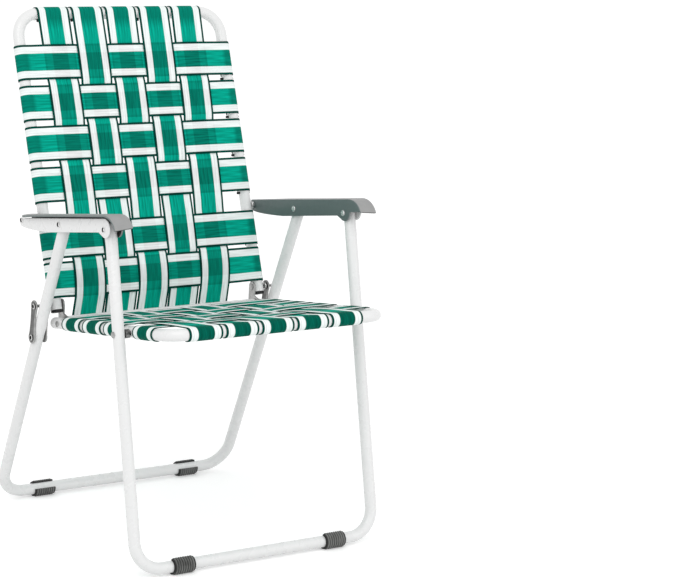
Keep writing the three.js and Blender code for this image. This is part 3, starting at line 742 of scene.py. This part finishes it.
def stampedPlate(name, side, outline, plateX, plateThickness, recessed):
    x, thickness = side * plateX, side * plateThickness
    piece = cutPlate(name, [Vector((x, y, z)) for y, z in outline], thickness)
    depth, grooveDarkness = hinge["recessDepth"], hinge["grooveShade"]
    if recessed:
        selectOnly(piece, "FACE", lambda face: face.normal.x * thickness > hinge["facing"] * abs(thickness))
        bpy.ops.mesh.inset(thickness=hinge["recessInset"], depth=0)
        bpy.ops.mesh.inset(thickness=depth, depth=-depth)
        bpy.ops.mesh.inset(thickness=hinge["grooveWidth"], depth=0)
        setMode("OBJECT")
        # painted shade: the groove at the foot of the recess is darkened, for the shade that falls there
        floorX = x + thickness * (1 - depth / abs(thickness))
        markPoints(piece, "hollow", lambda v: grooveDarkness if abs(v.co.x - floorX) < touch and not v.select else 0.0)
    roundEdges(piece, hinge["edgeRound"], hinge["edgeAngle"])
    if recessed:
        # the rounding keeps the painted shade on few vertices, so it is passed on to those next to them
        layer = piece.data.attributes["hollow"].data
        groove = {i for i, point in enumerate(layer) if point.value > 0}
        for edge in piece.data.edges:
            if groove.intersection(edge.vertices):
                for i in edge.vertices:
                    layer[i].value = grooveDarkness
    smoothByAngle(piece)
    return piece


def linkOutline():
    lower, upper = Vector(chair["linkPivot"]), Vector(backPivot)
    reach = (upper - lower).length
    lean = atan2(upper.y - lower.y, upper.x - lower.x) - pi / 2
    lobe, waist, turn = hinge["linkLobe"], hinge["linkWaist"], hinge["lobeTurn"]
    wide, steps = lobe * cos(radians(turn)), hinge["waistSteps"]
    outline = arc((0, reach), lobe, -turn, 180 + turn, hinge["lobeSteps"])
    outline += curveThrough(outline[-1], (-waist, reach / 2), (-wide, lobe / 2), steps)
    outline += arc((0, 0), lobe, 180 - turn, 360 + turn, hinge["lobeSteps"])[1:]
    outline += curveThrough(outline[-1], (waist, reach / 2), (wide, reach - lobe / 2), steps)[:-1]
    return [(lower.x + a * cos(lean) - b * sin(lean), lower.y + a * sin(lean) + b * cos(lean))
            for a, b in outline]


bracketRivet = onSeat(hinge["bracketReach"], 0)
bracketRivetPlace = (bracketRivet.y, bracketRivet.z)
bracketX = railInner - gap


def bracketOutline():
    top, lobe = backPivot, hinge["bracketLobe"]
    heel = onSeat(0, -lobe)
    toe = (hinge["bracketToe"], 270 - chair["seatSlope"], hinge["bracketToeSteps"])
    outline = arc(top, lobe, 0, 180, hinge["bracketTopSteps"])
    outline.append((top[0] - lobe, bracketRivet.z + hinge["bracketThroat"]))
    return outline + arc(bracketRivetPlace, lobe, *toe) + [(heel.y, heel.z), (top[0] + lobe, heel.z + lobe)]


plug = {"flange": 0.0042, "insert": 0.0035, "wall": 0.0024, "soft": 0.0008}


def backPlug(name, side):
    tubeEnd = onBack(-tubes["backTail"], 0, side * railX)
    down = (onBack(-1, 0) - onBack(0, 0)).normalized()
    wide, soft, face = tubeRadius, plug["soft"], gap + plug["flange"]
    thin = wide - plug["wall"]
    profile = [(0, -plug["insert"]), (thin, -plug["insert"]), (thin, gap), (wide, gap),
               (wide, face - soft), (wide - soft, face), (0, face)]
    points = [tubeEnd + down * depth + Vector((radius, 0, 0)) for radius, depth in profile]
    return spinProfile(name, points, tubeEnd, down, turning["steps"])


linkPlate, bracketPlate = hinge["linkPlate"], hinge["bracketPlate"]
linkHeads = (skirtOuter - linkPlate - gap, plateInner + linkPlate + gap)
linkPinTip = railOuter + gap + turning["headHeight"] + turning["pinGap"]
bracketHeads = (bracketX - bracketPlate - gap, railOuter + gap)
bothSides(stampedPlate, "linkOuter", zincFinish, "links", linkOutline(), plateInner, linkPlate, True)
bothSides(stampedPlate, "linkInner", zincFinish, "links", linkOutline(), skirtOuter, -linkPlate, True)
bothSides(rivet, "linkLowerRivet", rivetFinish, "rear_legs", chair["linkPivot"], *linkHeads, True)
bothSides(collaredPin, "linkUpperPin", rivetFinish, "links", backPivot, linkPinTip, *linkHeads)
bothSides(stampedPlate, "hingeBracket", zincFinish, "seat", bracketOutline(), bracketX, -bracketPlate, False)
bothSides(rivet, "hingeRivet", zincFinish, "seat", backPivot, *bracketHeads)
bothSides(rivet, "bracketRivet", zincFinish, "seat", bracketRivetPlace, *bracketHeads)
bothSides(backPlug, "backPlug", plugFinish, "back", stands="backTubePlug")
print("hinges made")

# Feet: a C shaped sleeve, drawn along the runner with ribs, flat on the floor
foot = {"x": 0.143, "length": 0.038, "wall": 0.0026, "slot": 0.0155, "slotTurn": 40, "arcSteps": 44,
        "collar": 0.002, "collarEdge": 0.0006, "smoothAngle": 30,
        "ribs": 8, "ribHeight": 0.0013, "ribSteps": (0.3, 0.7, 0.95)}  # steps as shares of a rib's pitch


def clipFoot(name, side, place):
    inner = tubeRadius + gap
    outer = inner + foot["wall"]
    # the slot faces the middle of the chair and up
    towards = -1 if place[0] > 0 else 1
    middle = 90 - towards * foot["slotTurn"]
    slotHalf = degrees(asin(foot["slot"] / 2 / outer))
    start = side * foot["x"] - foot["length"] / 2
    ring = arc(place, outer, middle + slotHalf, middle + 360 - slotHalf, foot["arcSteps"])
    piece = traceLine(name, [Vector((start, y, z)) for y, z in ring])
    pitch = (foot["length"] - 2 * foot["collar"]) / foot["ribs"]
    stations = [(foot["collar"] - foot["collarEdge"], outer), (foot["collar"], outer)]
    for i in range(foot["ribs"]):
        rise, fall, close = (foot["collar"] + i * pitch + pitch * share for share in foot["ribSteps"])
        stations += [(rise, outer + foot["ribHeight"]), (fall, outer + foot["ribHeight"]), (close, outer)]
    stations.append((foot["length"], outer))
    at, radius = 0.0, outer
    for station, wanted in stations:
        extrudeBy((station - at, 0, 0))
        centre = (start + station, place[0], place[1])
        bpy.ops.transform.resize(value=(1, wanted / radius, wanted / radius), center_override=centre)
        at, radius = station, wanted
    faceOutwards()
    applyModifier(piece, "SOLIDIFY", thickness=foot["wall"], offset=-1)
    setMode("EDIT")
    selectMesh("SELECT")
    bpy.ops.mesh.bisect(plane_co=(0, 0, 0), plane_no=(0, 0, 1), use_fill=True, clear_inner=True)
    setMode("OBJECT")

    def ribShare(v):
        return clamp((hypot(v.co.y - place[0], v.co.z - place[1]) - outer) / foot["ribHeight"])

    markPoints(piece, "crest", ribShare)
    smoothByAngle(piece, foot["smoothAngle"])
    return piece


for end in ("front", "rear"):
    bothSides(clipFoot, end + "Foot", footFinish, end + "_legs", chair[end + "Foot"])
print("feet made")

# Webbing: each strap is traced along its centre line and extruded to its width
strap = {"thickness": 0.0012, "columns": 5, "backRows": (0.4006, 0.3324, 0.2642, 0.196, 0.1026, 0.0386),
         "seatRows": (0.0699, 0.1382, 0.2065, 0.29797), "wrapTurn": 240, "wrapSteps": 18, "weaveGap": 0.0003,
         "bulge": 0.0005, "step": 0.0045, "crossSteps": 12, "leastSteps": 3, "ribs": 10, "weld": 1e-7,
         "edgeRound": 0.0003, "edgeAngle": 60, "backSlack": 0.003, "seatSlack": 0.005,
         "dipStart": 0.055, "dipSlope": 0.348, "seatDip": 0.0012, "seatDipSpan": (0.04, 0.15),
         "railFade": (0.162, 0.188), "railShade": 0.0145}
# the columns lean and close up towards the hinge: (pitch, middle) at the top, hinge, bar and seat front
columnPlan = {"top": (0.0642, -0.0035), "hinge": (0.06, -0.0123), "bar": (0.0604, -0.0161),
              "front": (0.0652, -0.0116), "lean": 2.2}
# what the webbing finish takes for a stretch with nothing behind it, on a tube, or on the seat, where the
# straps are darkened as painted shade
freeStrap, tubeBacked, seatShaded = (share * strapHalf for share in (1.2, 1.7, 2))
wrapRadius = tubeRadius + gap + strap["thickness"] / 2
weaveHalf = (strap["thickness"] + strap["weaveGap"]) / 2
weaveMiddle = wrapRadius + weaveHalf
columnSteps = [i - (strap["columns"] - 1) / 2 for i in range(strap["columns"])]


def backColumn(column, up):
    share = up / backLength
    (topPitch, topMiddle), (hingePitch, hingeMiddle) = columnPlan["top"], columnPlan["hinge"]
    middle = between(topMiddle, hingeMiddle, max(0, 1 - share) ** columnPlan["lean"])
    return middle + columnSteps[column] * between(hingePitch, topPitch, share)


def seatColumn(column, along):
    ends = zip(columnPlan["bar"], columnPlan["front"])
    pitch, middle = (between(rear, front, along / seatLength) for rear, front in ends)
    return middle + columnSteps[column] * pitch


def weaveSign(column, row):
    # 1 where the row's strap lies over the column's
    return 1 if (column + row) % 2 == 0 else -1


def weavePath(crossings, free):
    # crossings: (centre, 1 over or -1 under) in order
    # gives (place, level, distance from the crossing strap's middle)
    path = []
    for i, (centre, sign) in enumerate(crossings):
        steps = strap["crossSteps"]
        for k in range(steps + 1):
            w = (k / steps * 2 - 1) * strapHalf
            level = weaveMiddle + sign * (weaveHalf + strap["bulge"] * cos(pi * w / (2 * strapHalf)))
            path.append((centre + w, level, abs(w)))
        if i + 1 < len(crossings):
            nextCentre, nextSign = crossings[i + 1]
            first, last = centre + strapHalf, nextCentre - strapHalf
            steps = max(strap["leastSteps"], round((last - first) / strap["step"]))
            for t in (k / steps for k in range(1, steps)):
                ease = (1 - cos(pi * t)) / 2
                level = weaveMiddle + weaveHalf * (sign + (nextSign - sign) * ease)
                path.append((first + (last - first) * t, level, free))
    return path


def slackAt(depth, x, share):
    # a strap hangs deepest in the middle
    across = max(0.0, cos(pi * x / (2 * railX)))
    return depth * across * max(0.0, sin(pi * clamp(share)))


def backDip(up):
    # low down the straps swing back towards the crossbar
    below = max(0.0, strap["dipStart"] - up)
    return strap["dipSlope"] * below * below / (2 * (strap["dipStart"] - strap["backRows"][-1] + strapHalf))


def seatDip(along):
    # and at the seat's rear they lie a little lower
    return strap["seatDip"] * fade(along, strap["seatDipSpan"])


def backSettle(x, up, dipShare=1):
    return slackAt(strap["backSlack"], x, up / backLength) + backDip(up) * dipShare


def seatSettle(x, along, dipShare=1):
    return slackAt(strap["seatSlack"], x, along / seatLength) + seatDip(along) * dipShare


def bendDrop(x, bendRadius):
    # how far a bent corner falls away from the straight run of its tube
    past = min(max(0.0, abs(x) - railX + bendRadius), bendRadius)
    return bendRadius - sqrt(bendRadius ** 2 - past ** 2)


def makeStrap(name, line, direction, settle):
    # line: (point on one edge, distance from the crossing strap's middle); settle puts a point where it lies
    points = [point for point, _ in line]
    lengths = [0.0]
    for before, after in zip(points, points[1:]):
        lengths.append(lengths[-1] + (after - before).length)
    piece = traceLine(name, points)
    for _ in range(strap["ribs"]):
        extrudeBy(direction * chair["strapWidth"] / strap["ribs"])
    faceOutwards(strap["weld"])
    labels = ("across", "along", "under")
    layers = [piece.data.attributes.new(label, "FLOAT", "POINT") for label in labels]
    stations = {placeKey(point): j for j, point in enumerate(points)}
    for v in piece.data.vertices:
        reach = (v.co - points[0]).dot(direction)
        onLine = v.co - direction * reach
        j = stations.get(placeKey(onLine))
        if j is None:
            j = min(range(len(points)), key=lambda n: (points[n] - onLine).length)
        for layer, value in zip(layers, (reach - strapHalf, lengths[j], line[j][1])):
            layer.data[v.index].value = value
        v.co = settle(j, v.co)
    applyModifier(piece, "SOLIDIFY", thickness=strap["thickness"], offset=0)
    roundEdges(piece, strap["edgeRound"], strap["edgeAngle"])
    smoothByAngle(piece)
    return piece


def crossStrap(name, crossings, centre, plane, settleBy, free, wrapped):
    # plane(s, level, x) lies on the seat or the back; the strap wraps both rails
    turn, steps = strap["wrapTurn"], strap["wrapSteps"]
    flat = [(a, b, wrapped) for a, b in arc((-railX, 0), wrapRadius, 90 + turn, 90, steps)]
    flat.append((-railX + strap["railShade"], wrapRadius, free))
    flat += weavePath(crossings, free)
    flat.append((railX - strap["railShade"], wrapRadius, free))
    flat += [(a, b, wrapped) for a, b in arc((railX, 0), wrapRadius, 90, 90 - turn, steps)]
    line = [(plane(centre - strapHalf, level, x), under) for x, level, under in flat]
    origin = plane(0, 0)
    normal, ahead = plane(0, 1) - origin, plane(1, 0) - origin

    def settle(_, co):
        return co - normal * settleBy(co.x, (co - origin).dot(ahead), fade(abs(co.x), strap["railFade"]))

    return makeStrap(name, line, ahead, settle)


panels = (("back", strap["backRows"], onBack, backColumn, backLength, backSettle, freeStrap, tubeBacked),
          ("seat", strap["seatRows"], onSeat, seatColumn, seatLength, seatSettle, seatShaded, seatShaded))
for body, rows, plane, columnAt, _, settleBy, free, wrapped in panels:
    for row, centre in enumerate(rows):
        crossings = [(columnAt(column, centre), weaveSign(column, row)) for column in range(strap["columns"])]
        name = "%sCrossStrap%d" % (body, row + 1)
        piece = crossStrap(name, crossings, centre, plane, settleBy, free, wrapped)
        finishPiece(piece, webFinish, body, nodeName(name))
print("cross straps woven")

# Long straps: down the back, behind and under the rear crossbar, forward over the seat, in one length
drop = {"steps": 12, "barSteps": 14, "underSteps": 8,
        "foldLine": (0, -0.8, -0.6), "foldBefore": 0.003, "foldAfter": 0.0157}
barWrap = tubes["barRadius"] + gap + strap["thickness"] / 2


def tangentAngle(point, turn):
    offset = Vector((point.y - crossbar.y, point.z - crossbar.z))
    return atan2(offset.y, offset.x) + turn * acos(barWrap / offset.length)


def onBar(angle):
    return Vector((0, crossbar.y + barWrap * cos(angle), crossbar.z + barWrap * sin(angle)))


def longStrap(name, column):
    turn, wrapSteps = strap["wrapTurn"], strap["wrapSteps"]
    backCrossings, seatCrossings = ([(centre, -weaveSign(column, row)) for row, centre in enumerate(rows)]
                                    for rows in (strap["backRows"], strap["seatRows"]))
    # point, distance from the crossing strap's middle, the strap's own middle, which stretch, how far along
    entries = []
    for up, level in arc((backLength, 0), wrapRadius, 90 - turn, 90, wrapSteps):
        entries.append((onBack(up, level), tubeBacked, backColumn(column, backLength), "top", up))
    for up, level, under in reversed(weavePath(backCrossings[::-1], freeStrap)):
        entries.append((onBack(up, level), under, backColumn(column, up), "back", up))
    backEnd = entries[-1][0] - backNormal * backDip(entries[-1][4])
    seatPath = weavePath(seatCrossings, seatShaded)
    seatFrom, seatLevel = seatPath[0][:2]
    seatStart = onSeat(seatFrom, seatLevel - seatDip(seatFrom))
    rearAngle = tangentAngle(backEnd, -1)
    underAngle = tangentAngle(seatStart, 1) - 2 * pi
    backX, seatX = entries[-1][2], seatColumn(column, 0)
    for k in range(1, drop["steps"] + 1):
        t = k / drop["steps"]
        entries.append((backEnd.lerp(onBar(rearAngle), t), freeStrap, between(backX, seatX, t), "drop", 0))
    for k in range(1, drop["barSteps"] + 1):
        angle = rearAngle + (underAngle - rearAngle) * k / drop["barSteps"]
        entries.append((onBar(angle), seatShaded, seatX, "drop", 0))
    for k in range(1, drop["underSteps"]):
        t = k / drop["underSteps"]
        point = onBar(underAngle).lerp(seatStart, t)
        entries.append((point, seatShaded, seatColumn(column, seatFrom * t), "drop", 0))
    for along, level, under in seatPath:
        entries.append((onSeat(along, level), under, seatColumn(column, along), "seat", along))
    for along, level in arc((seatLength, 0), wrapRadius, 90, 90 - turn, wrapSteps):
        entries.append((onSeat(along, level), seatShaded, seatColumn(column, seatLength), "front", along))

    def settle(j, co):
        middle, where, reach = entries[j][2:]
        x = middle + co.x - strapHalf
        moved = Vector((x, co.y, co.z))
        if where == "back":
            moved -= backNormal * backSettle(x, reach)
        elif where == "seat":
            moved -= seatNormal * seatSettle(x, reach)
        elif where == "top":
            moved -= backUp * bendDrop(x, tubes["backBend"])
        elif where == "front":
            moved -= seatAhead * bendDrop(x, tubes["seatBend"])
        return moved

    return makeStrap(name, [entry[:2] for entry in entries], Vector((1, 0, 0)), settle)


for column in range(strap["columns"]):
    number = str(column + 1)
    piece = longStrap("longStrap" + number, column)
    finishPiece(piece, webFinish, None, "back_long_strap_" + number, "seat_long_strap_" + number)
    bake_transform(piece)
print("long straps woven")

# Strap fasteners: a screw through each strap's end, and pins through the back tube between the straps
# Profiles of (radius, height): the screw's from the strap, the pin's two ends from the tube's two sides
fastener = {"steps": 14, "screwTurn": 220,
            "screw": ((0, -0.002), (0.0042, -0.0002), (0.0042, 0.00042), (0.00385, 0.0007),
                      (0.0032, 0.0007), (0.0032, 0.00142), (0.00256, 0.00206), (0.00112, 0.0023),
                      (0.00096, 0.00158), (0, 0.0015)),
            "pinTip": ((0, -0.005), (0.00154, -0.0047), (0.0022, -0.0038)),
            "pinHead": ((0.0022, 0), (0.003, -0.0004), (0.003, 0.0004), (0.0021, 0.0012), (0, 0.0015)),
            "sidePins": (0.366, 0.2985, 0.231, 0.1645), "topPins": (-0.157, -0.0935, 0.0335)}


def turnedAbout(name, profile, base, axis):
    out = axis.orthogonal().normalized()
    return spinProfile(name, [base + axis * h + out * r for r, h in profile], base, axis, fastener["steps"])


def strapScrew(name, turn, place):
    # place(a, b) lies a across and b above the middle of a wrapped tube; the turn is from the top
    angle = radians(90 - turn)
    a, b = cos(angle), sin(angle)
    reach = wrapRadius + strap["thickness"] / 2
    axis = (place(a, b) - place(0, 0)).normalized()
    return turnedAbout(name, fastener["screw"], place(a * reach, b * reach), axis)


def tubePin(name, middle, axis):
    # head on the outer side of the tube, tip on the inner side
    tip = [(r, h - tubeRadius) for r, h in fastener["pinTip"]]
    head = [(r, h + tubeRadius) for r, h in fastener["pinHead"]]
    return turnedAbout(name, tip + head, middle, axis)


def joinPieces(name, pieces):
    clearSelection()
    for piece in pieces:
        piece.select_set(True)
    bpy.context.view_layer.objects.active = pieces[0]
    bpy.ops.object.join()
    joined = bpy.context.object
    joined.name = joined.data.name = name
    return joined


def endScrews(name, rows, plane, columnAt, length):
    turn = fastener["screwTurn"]
    columns = [columnAt(column, length) for column in range(strap["columns"])]
    screws = [strapScrew(name, side * turn, lambda a, b: plane(centre, b, side * railX + a))
              for centre in rows for side in (-1, 1)]
    screws += [strapScrew(name, turn, lambda a, b: plane(length + a, b, x)) for x in columns]
    return joinPieces(name, screws)


for body, rows, plane, columnAt, length, *_ in panels:
    finishPiece(endScrews(body + "StrapScrews", rows, plane, columnAt, length), zincFinish, body)
pinPlaces = [(onBack(up, 0, railX), Vector((1, 0, 0))) for up in fastener["sidePins"]]
pinPlaces += [(onBack(backLength, 0, x), backUp) for x in fastener["topPins"]]
pins = [tubePin("backTubePins", middle, axis) for middle, axis in pinPlaces]
finishPiece(joinPieces("backTubePins", pins), plugFinish, "back")
print("fasteners set")

# Studio: a pale floor, soft light from above, and the photograph's own viewpoint
studio = {"floorSize": 60.0, "floorZ": -0.0002, "floorColour": (0.9, 0.9, 0.9), "floorGlow": 0.28,
          "worldLight": 0.865, "backdrop": 1.0, "white": (1, 1, 1, 1), "aim": (0, 0, 0.4)}
lamps = {"key": {"place": (-2.0, -1.6, 2.8), "size": 2.6, "power": 28.0},
         "fill": {"place": (0.9, -2.6, 1.3), "size": 2.4, "power": 9.5}}


def emptyTree(owner):
    owner.use_nodes = True
    owner.node_tree.nodes.clear()
    return owner.node_tree


def mixByRay(tree, first, second):
    # the second is what the camera sees, straight or in a gloss; the first is what lights the chair
    path = addNode(tree, "LightPath").outputs
    rays = mathNode("MAXIMUM", path["Is Camera Ray"], path["Is Glossy Ray"])
    rays = mathNode("MAXIMUM", rays, path["Is Transmission Ray"])
    return addNode(tree, "MixShader", {0: rays, 1: first, 2: second}).outputs[0]


clearSelection()
bpy.ops.mesh.primitive_plane_add(size=studio["floorSize"], location=(0, 0, studio["floorZ"]))
floor = bpy.context.object
floor.name = floor.data.name = "studioFloor"
floorMaterial = bpy.data.materials.new("studioFloor")
floorTree = emptyTree(floorMaterial)
matt = addNode(floorTree, "BsdfDiffuse", {"Color": (*studio["floorColour"], 1)}).outputs[0]
glow = addNode(floorTree, "Emission", {"Strength": studio["floorGlow"]}).outputs[0]
lifted = addNode(floorTree, "AddShader", {0: matt, 1: glow}).outputs[0]
addNode(floorTree, "OutputMaterial", {"Surface": mixByRay(floorTree, matt, lifted)})
floor.data.materials.append(floorMaterial)

world = bpy.data.worlds.new("studio")
bpy.context.scene.world = world
worldTree = emptyTree(world)


def skyLight(strength):
    return addNode(worldTree, "Background", {"Color": studio["white"], "Strength": strength}).outputs[0]


sky = mixByRay(worldTree, skyLight(studio["worldLight"]), skyLight(studio["backdrop"]))
addNode(worldTree, "OutputWorld", {"Surface": sky})

for lampName, lamp in lamps.items():
    bpy.ops.object.light_add(type="AREA", location=lamp["place"])
    light = bpy.context.object
    light.name = lampName + "Light"
    light.data.size = lamp["size"]
    light.data.energy = lamp["power"]
    towards = Vector(studio["aim"]) - Vector(lamp["place"])
    light.rotation_euler = towards.to_track_quat("-Z", "Y").to_euler()

camera = {"place": (-1.985994, -3.202542, 1.184551), "lens": 124.19, "sensor": 36.0,
          "right": (0.819209, -0.571330, 0.049788), "up": (0.075677, 0.193748, 0.978128),
          "back": (-0.568480, -0.797523, 0.201957)}
bpy.ops.object.camera_add()
viewpoint = bpy.context.object
viewpoint.name = "photoCamera"
viewpoint.data.sensor_fit = "HORIZONTAL"
viewpoint.data.sensor_width = camera["sensor"]
viewpoint.data.lens = camera["lens"]
turnMatrix = Matrix([camera["right"], camera["up"], camera["back"]]).transposed().to_4x4()
viewpoint.matrix_world = Matrix.Translation(camera["place"]) @ turnMatrix
bpy.context.scene.camera = viewpoint
bpy.context.scene.view_settings.view_transform = "Standard"
print("studio set")
